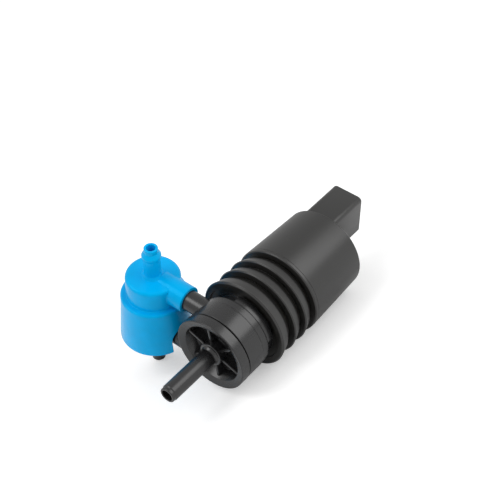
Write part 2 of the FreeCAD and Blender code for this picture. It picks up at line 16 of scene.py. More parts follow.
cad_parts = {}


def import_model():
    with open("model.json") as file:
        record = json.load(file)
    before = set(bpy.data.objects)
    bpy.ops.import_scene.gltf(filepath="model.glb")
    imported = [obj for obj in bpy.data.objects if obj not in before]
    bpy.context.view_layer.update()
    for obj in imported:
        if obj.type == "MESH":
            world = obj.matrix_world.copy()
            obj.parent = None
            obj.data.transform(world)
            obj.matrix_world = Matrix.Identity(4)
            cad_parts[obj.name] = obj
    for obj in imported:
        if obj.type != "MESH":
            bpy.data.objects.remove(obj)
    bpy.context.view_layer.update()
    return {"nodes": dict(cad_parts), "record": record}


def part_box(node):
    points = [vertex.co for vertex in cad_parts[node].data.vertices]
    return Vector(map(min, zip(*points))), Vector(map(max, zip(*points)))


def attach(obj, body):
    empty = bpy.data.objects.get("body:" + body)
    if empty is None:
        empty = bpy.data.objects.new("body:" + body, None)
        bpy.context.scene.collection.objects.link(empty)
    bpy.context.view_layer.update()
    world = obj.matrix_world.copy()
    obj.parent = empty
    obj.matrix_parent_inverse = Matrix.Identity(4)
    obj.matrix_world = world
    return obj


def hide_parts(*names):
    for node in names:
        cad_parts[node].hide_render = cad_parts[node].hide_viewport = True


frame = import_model()
MM = 0.001
print("nodes in the frame:", len(frame["nodes"]))

# %% [markdown]
# ## The drawing position
# A pump is easiest to draw with its own axis along Y and the valve upright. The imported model
# is rolled about that axis, so that the housing and the lower nipple touch the floor. Every
# mesh below is drawn upright and gets the same roll at the end, in its vertices and not on
# its object, so the object itself stays at the origin.

# %% Sizes that several pieces share
REST_ROLL = math.radians(24.6487)
SEAT = Matrix.Rotation(REST_ROLL, 4, "Y")
FIRST_LIP_Y = 25.9 * MM
VALVE_Y = 9.5 * MM
VALVE_CENTRE = (-34.5 * MM, VALVE_Y, 0)
UPPER_OUTLET = (0, 10.7 * MM, 6.7 * MM)
LOWER_OUTLET = (0, VALVE_Y, -13.8 * MM)
floor_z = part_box("motor_housing")[0].z
print("floor at", round(floor_z / MM, 2), "mm")

# %% [markdown]
# ## Shader maths that reads like maths
# A Math node for every sum soon hides what a material does. A small class wraps a socket and
# overloads the operators, so that `1 - mask` builds the node by itself. Colours never go
# through it, because a Math node would turn them grey.

# %% A socket that can be added and multiplied
class Value:
    """A shader socket that takes part in sums."""

    def __init__(self, finish, socket):
        self.finish = finish
        self.socket = socket

    def maths(self, operation, first, second):
        return self.finish.node("ShaderNodeMath", {"operation": operation}, first, second)

    def __add__(self, other):
        return self.maths("ADD", self, other)

    def __sub__(self, other):
        return self.maths("SUBTRACT", self, other)

    def __rsub__(self, other):
        return self.maths("SUBTRACT", other, self)

    def __mul__(self, other):
        return self.maths("MULTIPLY", self, other)

    __radd__ = __add__
    __rmul__ = __mul__

    def above(self, start, end):
        """0 below start, 1 above end, and smooth between them."""
        settings = {"interpolation_type": "SMOOTHSTEP"}
        return self.finish.node("ShaderNodeMapRange", settings, self, start, end)


FLAT = 0.995  # how well the rounded normal matches the true one on a flat face
EDGE = 0.9    # and in the middle of a rounded edge


class Finish:
    """A material and one method that adds any node to it."""

    def __init__(self, name):
        self.material = bpy.data.materials.new(name)
        self.material.use_nodes = True
        self.tree = self.material.node_tree
        self.shader = self.tree.nodes["Principled BSDF"]

    def fill(self, socket, value):
        if isinstance(value, Value):
            self.tree.links.new(value.socket, socket)
        else:
            socket.default_value = value

    def node(self, kind, settings=None, *values, out=0, **named):
        """Add a node: its settings first, then values in order, then values by name."""
        made = self.tree.nodes.new(kind)
        for key, setting in (settings or {}).items():
            setattr(made, key, setting)
        for socket, value in zip(made.inputs, values):
            self.fill(socket, value)
        for key, value in named.items():
            self.fill(made.inputs[key], value)
        return Value(self, made.outputs[out])

    def place(self, stretch=(1, 1, 1)):
        """Object coordinates, stretched about the origin."""
        here = self.node("ShaderNodeTexCoord", out="Object")
        return self.node("ShaderNodeMapping", None, here, Scale=stretch)

    def noise(self, where, scale, detail, rough):
        return self.node("ShaderNodeTexNoise", None, out="Fac", Vector=where,
                         Scale=scale, Detail=detail, Roughness=rough)

    def blend(self, share, first, second):
        """Mix two colours by a mask."""
        made = self.tree.nodes.new("ShaderNodeMix")
        made.data_type = "RGBA"
        colours = [s for s in made.inputs if s.type == "RGBA"]
        self.fill(made.inputs["Factor"], share)
        self.fill(colours[0], first)
        self.fill(colours[1], second)
        return Value(self, next(s for s in made.outputs if s.type == "RGBA"))

    def edges(self, radius):
        """Normals that round every sharp edge, and a mask of where they do."""
        round_normal = self.node("ShaderNodeBevel", {"samples": 6}, radius)
        flat_normal = self.node("ShaderNodeNewGeometry", out="Normal")
        match = self.node("ShaderNodeVectorMath", {"operation": "DOT_PRODUCT"},
                          round_normal, flat_normal, out="Value")
        return round_normal, match.above(FLAT, EDGE)

    def set(self, **sockets):
        for key, value in sockets.items():
            self.fill(self.shader.inputs[key.replace("_", " ")], value)
        return self.material


def tint(red, green, blue):
    """A colour picked on a screen, as Blender's linear numbers."""
    def linear(part):
        part /= 255
        return part / 12.92 if part <= 0.04045 else ((part + 0.055) / 1.055) ** 2.4
    return (linear(red), linear(green), linear(blue), 1.0)


print("shader maths ready")

# %% [markdown]
# ## Moulded plastic
# All outer pieces but the terminals are injection moulded. A mould leaves three things on the
# plastic: a fine grain from the spark-eroded steel, broad and weak changes of sheen where the
# melt flowed, and edges that are never quite sharp. Handling adds some dust and a light bloom
# on the edges; that lighter edge colour is partly rubbed wear and partly a painted highlight.
# One function makes all five plastics, and its numbers tell them apart. The scales count
# features per metre, so 5200 gives a grain of about a fifth of a millimetre. The two numbers
# of a mask say at which value it starts and at which it is full.

# %% A family of plastics
FLOW_STRETCH = (60, 25, 60)      # long waves of sheen along the pump
DUST_SCALE = 900
# scale of the noise that picks the lighter edges: partly rubbed wear, partly a painted highlight
RUB_AND_HIGHLIGHT_SCALE = 420
DEEP = 0.82                      # the darkest part of a colour against its lightest
GRAIN_DEPTH = 0.04 * MM
MIDDLE = 0.5                     # the middle value of a noise
WHITE_SHINE = (1, 1, 1, 1)
BLUE_SHINE = (0.06, 0.6, 0.9, 1.0)


def plastic(name, colour, dust_wear_and_highlight, roughness, grain, scale, edge, gloss, shine=WHITE_SHINE):
    """Moulded plastic; edge is the radius of its rounded edges in metres."""
    made = Finish(name)
    where = made.place()
    fine = made.noise(where, scale, 3.0, 0.6)
    flow = made.noise(made.place(FLOW_STRETCH), 1.0, 3.0, 0.55)
    specks = made.noise(where, DUST_SCALE, 2.0, 0.5).above(0.70, 0.78)
    smooth_normal, rim = made.edges(edge)
    # edges turn lighter, towards the worn colour: partly rubbed wear, partly a painted highlight
    # along the edges
    rub_and_highlight = rim * made.noise(where, RUB_AND_HIGHLIGHT_SCALE, 4.0, 0.6).above(0.42, 0.62)
    dark = tuple(DEEP * part for part in colour[:3]) + (1.0,)
    base = made.blend(flow.above(0.3, 0.7), dark, colour)
    base = made.blend(rub_and_highlight * 0.45 + specks * 0.12, base, dust_wear_and_highlight)
    sheen = roughness + (flow - MIDDLE) * 0.16 + (fine - MIDDLE) * 0.08 + rub_and_highlight * 0.06
    relief = made.node("ShaderNodeBump", None, Strength=grain, Distance=GRAIN_DEPTH,
                       Height=fine, Normal=smooth_normal)
    return made.set(Base_Color=base, Roughness=sheen, Normal=relief,
                    Specular_IOR_Level=gloss, Specular_Tint=shine)


HOUSING = plastic("housing_plastic", tint(23, 22, 20), tint(86, 84, 80),
                  roughness=0.36, grain=0.28, scale=5200, edge=0.00012, gloss=0.8)
BLACK = plastic("black_plastic", tint(23, 23, 24), tint(84, 84, 85),
                roughness=0.27, grain=0.18, scale=6000, edge=0.0002, gloss=0.75)
BLUE = plastic("blue_plastic", tint(0, 184, 251), tint(20, 205, 254),
               roughness=0.2, grain=0.06, scale=4200, edge=0.00035, gloss=0.5,
               shine=BLUE_SHINE)
WHITE = plastic("white_plastic", tint(226, 224, 214), tint(240, 240, 236),
                roughness=0.38, grain=0.15, scale=4200, edge=0.0002, gloss=0.5)
BROWN = plastic("brown_plastic", tint(92, 58, 36), tint(140, 104, 76),
                roughness=0.5, grain=0.3, scale=4200, edge=0.0002, gloss=0.5)
print("plastics:", HOUSING.name, BLACK.name, BLUE.name)

# %% [markdown]
# ## Metals, rubber and the dark stuff inside
# The motor hides in the housing, but it is part of the object and is seen when the pump is
# opened. Rolled and drawn metal has fine lines in one direction, which a stretched noise
# gives. Sintered and moulded stuff has grains without direction.

# %% Finishes of the inner pieces
METAL_EDGE = 0.00015
STAIN_SCALE = 260
LINE_DEPTH = 0.02 * MM
GRAINY_EDGE = 0.0002


def metal(name, colour, roughness, stretch, tarnish):
    made = Finish(name)
    lines = made.noise(made.place(stretch), 1.0, 4.0, 0.6)
    stains = made.noise(made.place(), STAIN_SCALE, 3.0, 0.6).above(0.45, 0.75)
    smooth_normal, rim = made.edges(METAL_EDGE)
    base = made.blend(stains * 0.5, colour, tarnish)
    sheen = roughness + (lines - MIDDLE) * 0.2 + stains * 0.12 - rim * 0.05
    relief = made.node("ShaderNodeBump", None, Strength=0.2, Distance=LINE_DEPTH,
                       Height=lines, Normal=smooth_normal)
    return made.set(Base_Color=base, Metallic=1.0, Roughness=sheen, Normal=relief)


def grainy(name, colour, light, roughness, scale):
    made = Finish(name)
    grains = made.noise(made.place(), scale, 3.0, 0.65)
    smooth_normal, rim = made.edges(GRAINY_EDGE)
    # grains vary the colour at random, and the edge mask makes every edge lighter: a painted
    # highlight along the edges
    base = made.blend(grains.above(0.35, 0.75) + rim * 0.3, colour, light)
    sheen = roughness + (grains - MIDDLE) * 0.15
    relief = made.node("ShaderNodeBump", None, Strength=0.4, Distance=GRAIN_DEPTH,
                       Height=grains, Normal=smooth_normal)
    return made.set(Base_Color=base, Roughness=sheen, Normal=relief)


FINISHES = {
    "housing_plastic": HOUSING,
    "black_plastic": BLACK,
    "blue_plastic": BLUE,
    "white_plastic": WHITE,
    "brown_plastic": BROWN,
    "black_rubber": grainy("black_rubber", tint(38, 38, 39), tint(70, 70, 70), 0.62, 3000),
    "steel": metal("steel", tint(178, 181, 186), 0.28, (300, 4000, 300), tint(140, 138, 134)),
    "lamination_steel": metal("lamination_steel", tint(120, 121, 126), 0.45, (60, 6000, 60),
                              tint(84, 78, 74)),
    "bronze": metal("bronze", tint(196, 158, 104), 0.4, (2500, 2500, 2500), tint(138, 100, 62)),
    "copper": metal("copper", tint(206, 126, 84), 0.3, (400, 5200, 400), tint(150, 78, 48)),
    "tinned_brass": metal("tinned_brass", tint(205, 204, 198), 0.26, (3000, 260, 3000),
                          tint(168, 160, 140)),
    "ferrite": grainy("ferrite", tint(58, 58, 61), tint(92, 92, 95), 0.6, 2600),
    "carbon": grainy("carbon", tint(36, 36, 37), tint(74, 74, 76), 0.5, 3600),
}
for part in frame["record"]["subparts"]:
    mesh = frame["nodes"][part["node"]].data
    mesh.materials.clear()
    mesh.materials.append(FINISHES[part["material_slot"]])
print("finishes:", len(FINISHES))

# %% [markdown]
# ## Turning a profile
# Most of a pump is turned or moulded round one axis. A list of corners, each with its own
# rounding, becomes a smooth outline, and the outline is swept round in steps. Doing it in
# mesh code, and not with a Screw modifier, keeps the poles closed and every step countable.

# %% Helpers for turned shapes
SEGMENTS = 192                    # steps of a full turn
FEW_SEGMENTS = 96                 # and of a thin rod or stub
ROUNDING_STEPS = 5                # steps in a rounded corner of an outline
MOST_OF_A_SIDE = 0.45             # a rounding takes no more of either side
ON_THE_AXIS = 1e-7                # a smaller radius is a pole
SMOOTH_UP_TO = math.radians(32)   # a sharper edge than this stays sharp


def rounded(corners):
    """Corners (radius, height, rounding) in millimetres as points in metres."""
    points = []
    last = len(corners) - 1
    for k, (radius, height, *rest) in enumerate(corners):
        here = Vector((radius, height)) * MM
        if not rest or k in (0, last):
            points.append(here)
            continue
        before = Vector(corners[k - 1][:2]) * MM - here
        after = Vector(corners[k + 1][:2]) * MM - here
        angle = before.angle(after)
        reach = min(rest[0] * MM / math.tan(angle / 2),
                    before.length * MOST_OF_A_SIDE, after.length * MOST_OF_A_SIDE)
        start = here + before.normalized() * reach
        end = here + after.normalized() * reach
        for step in range(ROUNDING_STEPS + 1):
            t = step / ROUNDING_STEPS
            points.append(start * (1 - t) ** 2 + here * 2 * t * (1 - t) + end * t ** 2)
    return points


def as_object(name, data):
    made = bpy.data.objects.new(name, data)
    bpy.context.scene.collection.objects.link(made)
    return made


def smooth(mesh):
    mesh.shade_smooth()
    mesh.set_sharp_from_angle(angle=SMOOTH_UP_TO)


def mesh_object(name, work):
    """A finished bmesh as an object, with its faces pointing outwards."""
    bmesh.ops.recalc_face_normals(work, faces=work.faces)
    mesh = bpy.data.meshes.new(name)
    work.to_mesh(mesh)
    work.free()
    smooth(mesh)
    return as_object(name, mesh)


def lathe(name, corners, axis="Y", centre=(0, 0, 0), ring=True, segments=SEGMENTS):
    """Turn an outline. A ring closes on itself; any other outline ends on the axis."""
    work = bmesh.new()
    rows = []
    for radius, height in rounded(corners):
        if radius < ON_THE_AXIS:
            rows.append([work.verts.new((0, height, 0))])
            continue
        rows.append([work.verts.new((radius * math.cos(a), height, radius * math.sin(a)))
                     for a in (math.tau * k / segments for k in range(segments))])
    pairs = list(zip(rows, rows[1:]))
    if ring:
        pairs.append((rows[-1], rows[0]))
    for low, high in pairs:
        for k in range(segments):
            n = (k + 1) % segments
            first = low if len(low) == 1 else [low[k], low[n]]
            second = high if len(high) == 1 else [high[n], high[k]]
            if len(first) + len(second) > 2:
                work.faces.new(first + second)
    turn = {"Y": Matrix.Identity(4),
            "Z": Matrix.Rotation(math.radians(90), 4, "X"),
            "X": Matrix.Rotation(math.radians(-90), 4, "Z")}[axis]
    bmesh.ops.transform(work, matrix=Matrix.Translation(centre) @ turn, verts=work.verts)
    return mesh_object(name, work)


def prism(name, outline, depth, bevel=0.0):
    """An outline in the XY plane, in millimetres, given a thickness along Z on both sides."""
    work = bmesh.new()
    face = work.faces.new([work.verts.new((x * MM, y * MM, -depth * MM / 2)) for x, y in outline])
    grown = bmesh.ops.extrude_face_region(work, geom=[face])
    top = [v for v in grown["geom"] if isinstance(v, bmesh.types.BMVert)]
    bmesh.ops.translate(work, verts=top, vec=(0, 0, depth * MM))
    if bevel:
        bmesh.ops.bevel(work, geom=work.edges[:], offset=bevel * MM, segments=3, profile=0.5,
                        affect="EDGES", clamp_overlap=True)
    return mesh_object(name, work)


def settle(obj):
    """Turn an object with modifiers into one with a plain mesh."""
    graph = bpy.context.evaluated_depsgraph_get()
    mesh = bpy.data.meshes.new_from_object(obj.evaluated_get(graph))
    obj.modifiers.clear()
    obj.data = mesh


def carve(base, joins, cuts):
    """Join and cut closed shapes, as the real mould does in one piece."""
    for operation, tools in (("UNION", joins), ("DIFFERENCE", cuts)):
        for tool in tools:
            step = base.modifiers.new(operation, "BOOLEAN")
            step.operation = operation
            step.solver = "EXACT"
            step.object = tool
            bpy.context.view_layer.update()
            settle(base)
            bpy.data.objects.remove(tool)
    smooth(base.data)
    return base


def finished(obj, finish, body, node):
    """Give a piece its finish and the resting roll, and let it stand for its node."""
    obj.data.transform(SEAT)
    obj.data.materials.clear()
    obj.data.materials.append(FINISHES[finish])
    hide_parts(node)
    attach(obj, body)
    print(obj.name, len(obj.data.polygons), "faces")


print("turning tools ready")

# %% [markdown]
# ## Geometry Nodes for what repeats
# Ribs, latch lugs and lips are one shape, repeated by a rule. Drawing each copy by hand would
# hide the rule. A node tree takes one shape, a count and a step, and places the copies: one
# tree round the pump axis, one along it. Both end in Realize Instances and Set Material, so
# that the result is a plain mesh with its finish.

# %% Two trees that place copies
def copies_tree(name, round_axis):
    tree = bpy.data.node_groups.new(name, "GeometryNodeTree")
    for title, kind in (("Shape", "Geometry"), ("Count", "Int"), ("Start", "Float"),
                        ("Step", "Float"), ("Finish", "Material")):
        tree.interface.new_socket(title, in_out="INPUT", socket_type="NodeSocket" + kind)
    tree.interface.new_socket("Copies", in_out="OUTPUT", socket_type="NodeSocketGeometry")
    add = tree.nodes.new
    link = tree.links.new
    given = add("NodeGroupInput")
    points = add("GeometryNodeMeshLine")
    link(given.outputs["Count"], points.inputs["Count"])
    points.inputs["Offset"].default_value = (0, 0, 0)
    index = add("GeometryNodeInputIndex")
    steps = add("ShaderNodeMath")
    steps.operation = "MULTIPLY_ADD"
    link(index.outputs[0], steps.inputs[0])
    link(given.outputs["Step"], steps.inputs[1])
    link(given.outputs["Start"], steps.inputs[2])
    along = add("ShaderNodeCombineXYZ")
    link(steps.outputs[0], along.inputs["Y"])
    copies = add("GeometryNodeInstanceOnPoints")
    link(given.outputs["Shape"], copies.inputs["Instance"])
    if round_axis:
        link(points.outputs["Mesh"], copies.inputs["Points"])
        turn = add("FunctionNodeEulerToRotation")
        link(along.outputs[0], turn.inputs[0])
        link(turn.outputs[0], copies.inputs["Rotation"])
    else:
        shift = add("GeometryNodeSetPosition")
        link(points.outputs["Mesh"], shift.inputs["Geometry"])
        link(along.outputs[0], shift.inputs["Offset"])
        link(shift.outputs[0], copies.inputs["Points"])
    real = add("GeometryNodeRealizeInstances")
    link(copies.outputs[0], real.inputs[0])
    coat = add("GeometryNodeSetMaterial")
    link(real.outputs[0], coat.inputs["Geometry"])
    link(given.outputs["Finish"], coat.inputs["Material"])
    result = add("NodeGroupOutput")
    link(coat.outputs[0], result.inputs["Copies"])
    return tree


ROUND_AXIS = copies_tree("copies_round_the_axis", True)
ALONG_AXIS = copies_tree("copies_along_the_axis", False)


def repeat(shape, tree, count, start, step, finish):
    """Replace a shape by its copies, as one plain mesh."""
    names = {s.name: s.identifier for s in tree.interface.items_tree if s.in_out == "INPUT"}
    work = shape.modifiers.new("copies", "NODES")
    work.node_group = tree
    work[names["Count"]] = count
    work[names["Start"]] = start
    work[names["Step"]] = step
    work[names["Finish"]] = FINISHES[finish]
    settle(shape)
    smooth(shape.data)
    return shape


print("trees:", ROUND_AXIS.name, ALONG_AXIS.name)

# %% [markdown]
# ## Inlet cover
# The front of the pump is one moulding: a parallel spigot that is pushed into the reservoir,
# a hub, and a conical recess with a rim. The wall stays even in thickness, so the hub needs
# ribs to carry it. The whole outline is turned in one piece, with the bore open.

# %% Turn the cover and place its six ribs
BORE = 2.2
SPIGOT = 3.25
SPIGOT_TIP = -23.0
HUB = 4.6
RECESS_FLOOR = 4.5
RIM = 14.85
RIB_COUNT = 6
RIB_WIDTH = 1.0
FIRST_RIB = math.radians(-41)

cover = lathe("cover_body", [
    (BORE, 3.9), (BORE, SPIGOT_TIP, 0.15), (3.0, SPIGOT_TIP, 0.35), (3.0, -21.7, 0.1),
    (SPIGOT, -21.4, 0.12), (SPIGOT, -1.1, 0.9), (3.75, -0.1, 0.4), (HUB, 0.0, 0.45),
    (HUB, RECESS_FLOOR, 0.35), (9.95, RECESS_FLOOR, 0.5), (11.9, 0.6, 0.15), (RIM, -0.4, 0.45),
    (RIM, 3.7), (14.55, 4.0), (14.1, 4.0), (14.1, 4.3),
    (10.95, 4.3), (10.95, 6.1), (2.6, 6.1), (2.6, 3.9)])
rib = prism("cover_ribs", [(4.2, 4.9), (10.2, 4.9), (11.75, 1.5), (4.2, 1.5)], RIB_WIDTH, 0.18)
rib = repeat(rib, ROUND_AXIS, RIB_COUNT, FIRST_RIB, math.radians(360 / RIB_COUNT),
             "black_plastic")
finished(cover, "black_plastic", "pump", "inlet_cover")
finished(rib, "black_plastic", "pump", "inlet_cover")

# %% [markdown]
# ## Pump head
# Behind the cover sits the chamber with its two outlet stubs. The stubs leave the head side
# by side, at different heights, so this piece can't be turned alone. The outside is turned,
# the stubs are joined to it, and then the hollow is cut, in the order that a mould forms it.

# %% Join the stubs and cut the chamber
STUB_END = -24.6
GROOVE_WIDTH = 1.2
GROOVE_DEPTH = 0.8
UPPER_STUB = 3.9
LOWER_STUB = 3.4
WATER_WAY = 1.7
LUG_STEPS = 28


def stub(name, radius, outlet, inner_x, inner_round):
    """A round outlet along X, with a groove near its end for a sealing ring."""
    groove = STUB_END + GROOVE_WIDTH
    corners = [(0, STUB_END), (radius, STUB_END, 0.3), (radius, groove),
               (radius - GROOVE_DEPTH, groove), (radius - GROOVE_DEPTH, groove + GROOVE_WIDTH),
               (radius, groove + GROOVE_WIDTH), (radius, inner_x, inner_round), (0, inner_x)]
    return lathe(name, corners, "X", outlet, ring=False, segments=FEW_SEGMENTS)


def rod_along_x(name, radius, start, end, outlet, segments=FEW_SEGMENTS):
    return lathe(name, [(0, start), (radius, start), (radius, end), (0, end)], "X",
                 outlet, ring=False, segments=segments)


head = lathe("head_body", [
    (0, 4.3), (14.75, 4.3, 0.25), (14.75, 11.7, 0.1), (14.5, 11.95, 0.1), (14.5, 15.5, 2.0),
    (12.2, 15.5, 0.3), (12.2, 19.0), (13.1, 19.0), (13.1, 20.2), (12.0, 20.2), (12.0, 21.8),
    (13.1, 21.8), (13.1, 23.0, 0.3), (0, 23.0)], ring=False)
chamber = lathe("chamber", [(0, 3.6), (11.0, 3.6), (11.0, 11.7), (1.4, 11.7), (1.4, 12.7),
                            (4.0, 12.7), (4.0, 15.2), (5.4, 15.2), (5.4, 13.6), (9.6, 13.6),
                            (9.6, 23.5), (0, 23.5)], ring=False)
port = prism("port", [(-6.25, 7.8), (-1.75, 7.8), (-1.75, 11.2), (-6.25, 11.2)], 6.9)
port.data.transform(Matrix.Translation((0, 0, -8.95 * MM)))
head = carve(head,
             [stub("upper", UPPER_STUB, UPPER_OUTLET, 0, 0.3),
              stub("lower", LOWER_STUB, LOWER_OUTLET, 0.5, 1.2)],
             [chamber,
              rod_along_x("upper_way", WATER_WAY, -25, 0, UPPER_OUTLET),
              rod_along_x("lower_way", WATER_WAY, -25, -4, LOWER_OUTLET),
              port])


def ring_part(name, inner, outer, low, high, span, bevel):
    """Part of a ring about the pump axis, with its middle towards +X."""
    angles = [math.radians(-span / 2 + span * k / LUG_STEPS) for k in range(LUG_STEPS + 1)]
    outline = [(outer * math.cos(a), outer * math.sin(a)) for a in angles]
    outline += [(inner * math.cos(a), inner * math.sin(a)) for a in reversed(angles)]
    made = prism(name, outline, high - low, bevel)
    upright = Matrix.Rotation(math.radians(90), 4, "X")
    made.data.transform(Matrix.Translation((0, (low + high) / 2 * MM, 0)) @ upright)
    return made


lugs = ring_part("head_lugs", inner=12.0, outer=14.4, low=13.5, high=18.2, span=83, bevel=0.25)
lugs = repeat(lugs, ROUND_AXIS, 2, math.radians(-53.5), math.pi, "black_plastic")
finished(head, "black_plastic", "pump", "pump_head")
finished(lugs, "black_plastic", "pump", "pump_head")

# %% [markdown]
# ## Motor housing
# The housing is one moulding too. Three lips stand out at the front like a stack of funnels,
# and the long barrel behind them tapers a little, so that it leaves its mould. The foremost
# lip is the flange and is turned with the barrel. The two behind it are equal, so a node tree
# repeats them along the axis.

# %% Turn the barrel and repeat the lips
CAN_SPACE = 13.15
CORE = 14.8
GROOVE = 15.1
FRONT_EDGE = 17.6
LIP_EDGE = 18.0
FLANGE_EDGE = 18.2
FLANGE_Y = 18.4
PITCH = 6.25

barrel = lathe("housing_barrel", [
    (0, 65.7), (CAN_SPACE, 65.7), (CAN_SPACE, 19.0), (15.6, 19.0, 0.1), (15.6, FLANGE_Y, 0.15),
    (FRONT_EDGE, FLANGE_Y, 0.3), (FLANGE_EDGE, 19.0, 0.12), (17.1, 22.8, 3.0),
    (GROOVE, 25.9, 0.15), (CORE, 26.4), (CORE, 38.4, 0.1), (FRONT_EDGE, 38.5, 0.2),
    (LIP_EDGE, 38.9, 0.12), (LIP_EDGE, 39.95), (17.85, 40.03),
    (LIP_EDGE, 40.1), (16.95, 67.5, 0.2), (16.35, 68.1, 0.2), (0, 68.1)], ring=False)
lip = lathe("housing_lips", [
    (14.4, 0.0), (15.0, 0.0, 0.1), (FRONT_EDGE, 0.1, 0.2), (LIP_EDGE, 0.5, 0.12),
    (16.9, 3.8, 3.0), (GROOVE, PITCH, 0.15), (14.4, PITCH)])
lip = repeat(lip, ALONG_AXIS, 2, FIRST_LIP_Y, PITCH * MM, "housing_plastic")
finished(barrel, "housing_plastic", "pump", "motor_housing")
finished(lip, "housing_plastic", "pump", "motor_housing")

# %% [markdown]
# ## Plug shroud
# The plug goes into a shroud with even walls. One function draws a rounded rectangle as a
# ring of points. The rings run up the outside, round the edge of the mouth and down the
# inside, and bridging each to the next gives walls without any gap.

# %% Build the shroud from rings
SHROUD_WIDTH = 13.0
SHROUD_HEIGHT = 17.8
SHROUD_X = -3.1
SHROUD_Z = 4.9
WALL = 1.4
SHROUD_FOOT = 66.9
MOUTH = 87.0
CORNER_STEPS = 6


def rounded_rectangle(width, height, radius):
    points = []
    for k, (sx, sz) in enumerate(((1, 1), (-1, 1), (-1, -1), (1, -1))):
        cx = sx * (width / 2 - radius)
        cz = sz * (height / 2 - radius)
        for step in range(CORNER_STEPS + 1):
            a = math.radians(90 * (k + step / CORNER_STEPS))
            points.append((cx + radius * math.cos(a), cz + radius * math.sin(a)))
    return points


def shroud():
    rings = [  # inset from the outside, corner radius, y
        (0.0, 1.8, SHROUD_FOOT), (0.0, 1.8, 86.8), (0.06, 1.74, 86.94), (0.2, 1.6, MOUTH),
        (WALL - 0.2, 0.8, MOUTH), (WALL - 0.06, 0.7, 86.94), (WALL, 0.6, 86.8),
        (WALL, 0.6, SHROUD_FOOT)]
    work = bmesh.new()
    loops = []
    for inset, radius, y in rings:
        outline = rounded_rectangle(SHROUD_WIDTH - 2 * inset, SHROUD_HEIGHT - 2 * inset, radius)
        loops.append([work.verts.new(Vector((x + SHROUD_X, y, z + SHROUD_Z)) * MM)
                      for x, z in outline])
    for here, there in zip(loops, loops[1:] + loops[:1]):
        for k in range(len(here)):
            n = (k + 1) % len(here)
            work.faces.new((here[k], here[n], there[n], there[k]))
    return mesh_object("housing_shroud", work)


finished(shroud(), "housing_plastic", "pump", "motor_housing")

# %% [markdown]
# ## Hose nipples
# A nipple has a root, a straight neck and one rounded barb that the hose slips over. Both
# nipples share their outline and differ in length and direction, so one function lists the
# corners for either.

# %% The outline that both nipples share
NIPPLE_BORE = 1.66
TIP = 2.6
NECK = 3.2
BARB = 3.6
BARB_FROM_TIP = 4.8
UPPER_LENGTH = 13.4
LOWER_LENGTH = 16.6


def nipple(root, length, side):
    """Corners from the root to the bore; side is 1 for upwards and -1 for downwards."""
    barb = length - BARB_FROM_TIP
    shape = [(4.0, 0.0, 0.3), (NECK, 1.3, 0.8), (NECK, barb, 0.1), (3.35, barb, 0.1),
             (BARB, barb + 0.95, 0.6), (BARB, barb + 1.5, 0.5), (2.75, barb + 2.9, 0.1),
             (TIP, barb + 2.9, 0.1), (TIP, length, 0.3), (NIPPLE_BORE, length, 0.15)]
    return [(r, root + side * z, *rest) for r, z, *rest in shape]


print("nipple corners:", len(nipple(0, UPPER_LENGTH, 1)))

# %% [markdown]
# ## Blue valve cap
# The cap is what the eye goes to: a stepped drum with a flared skirt, an arm that plugs onto
# the upper stub, and an arch in the skirt that lets the lower arm through. Drum, skirt and
# nipple are turned as one outline. The arm is joined to it, and socket and arch are cut.

# %% Turn, join and cut the cap
SKIRT_END = -19.0
SKIRT_MOUTH = 13.75
DRUM = 12.5
STEP_HEIGHT = 1.5
SMALL_DRUM = 10.25
CAP_TOP = 10.8
CAP_INSIDE = 11.2
SNAP_RING = 10.75
UPPER_ARM = 5.1
UPPER_SOCKET = 3.95
SOCKET_END = -24.65
SOCKET_SEGMENTS = 128
ARCH_STEPS = 32
ARCH_LENGTH = 22
ARCH_X = -19 * MM

outside = [(12.45, SKIRT_END), (SKIRT_MOUTH, SKIRT_END, 0.35), (DRUM, -1.4, 2.0),
           (DRUM, STEP_HEIGHT, 1.9), (SMALL_DRUM, STEP_HEIGHT, 0.45), (SMALL_DRUM, CAP_TOP, 1.5)]
inside = [(NIPPLE_BORE, 9.4), (9.1, 9.4, 0.4), (9.1, 0.2), (CAP_INSIDE, 0.2),
          (CAP_INSIDE, -3.65), (SNAP_RING, -3.9), (SNAP_RING, -4.4), (CAP_INSIDE, -4.65)]
cap = lathe("valve_cap_shell", outside + nipple(CAP_TOP, UPPER_LENGTH, 1) + inside, "Z",
            VALVE_CENTRE)


def arch(name, radius, foot):
    """A long arch-shaped core along X that leaves a slot in the skirt."""
    outline = [(radius * math.cos(a), radius * math.sin(a)) for a in
               (math.pi * k / ARCH_STEPS for k in range(ARCH_STEPS + 1))]
    outline += [(-radius, -foot), (radius, -foot)]
    made = prism(name, outline, ARCH_LENGTH)
    upright = Matrix.Rotation(math.radians(90), 4, "Z") @ Matrix.Rotation(math.radians(90), 4, "X")
    middle = Matrix.Translation(LOWER_OUTLET) @ Matrix.Translation((ARCH_X, 0, 0))
    made.data.transform(middle @ upright)
    return made


arm = lathe("arm", [(0, -31.1), (UPPER_ARM, -31.1), (UPPER_ARM, -18.5, 0.3), (0, -18.5)], "X",
            UPPER_OUTLET, ring=False)
cap = carve(cap, [arm],
            [rod_along_x("socket", UPPER_SOCKET, SOCKET_END, -18.0, UPPER_OUTLET, SOCKET_SEGMENTS),
             arch("slot", radius=5.0, foot=7.0)])
finished(cap, "blue_plastic", "pump", "valve_cap")

# %% [markdown]
# ## Valve base
# The black base is snapped into the skirt and carries the lower arm and the lower nipple. Only
# the tip of the nipple and the arm in the arch show from the front, but the base is in full
# view from below, so it is made the same way as the cap.

# %% Turn, join and cut the base
BASE_TOP = -1.4
BASE_COLLAR = 11.1
BASE_BODY = 10.3
BASE_END = -18.2
BASE_INSIDE = 9.0
LOWER_ARM = 4.2
LOWER_SOCKET = 3.45

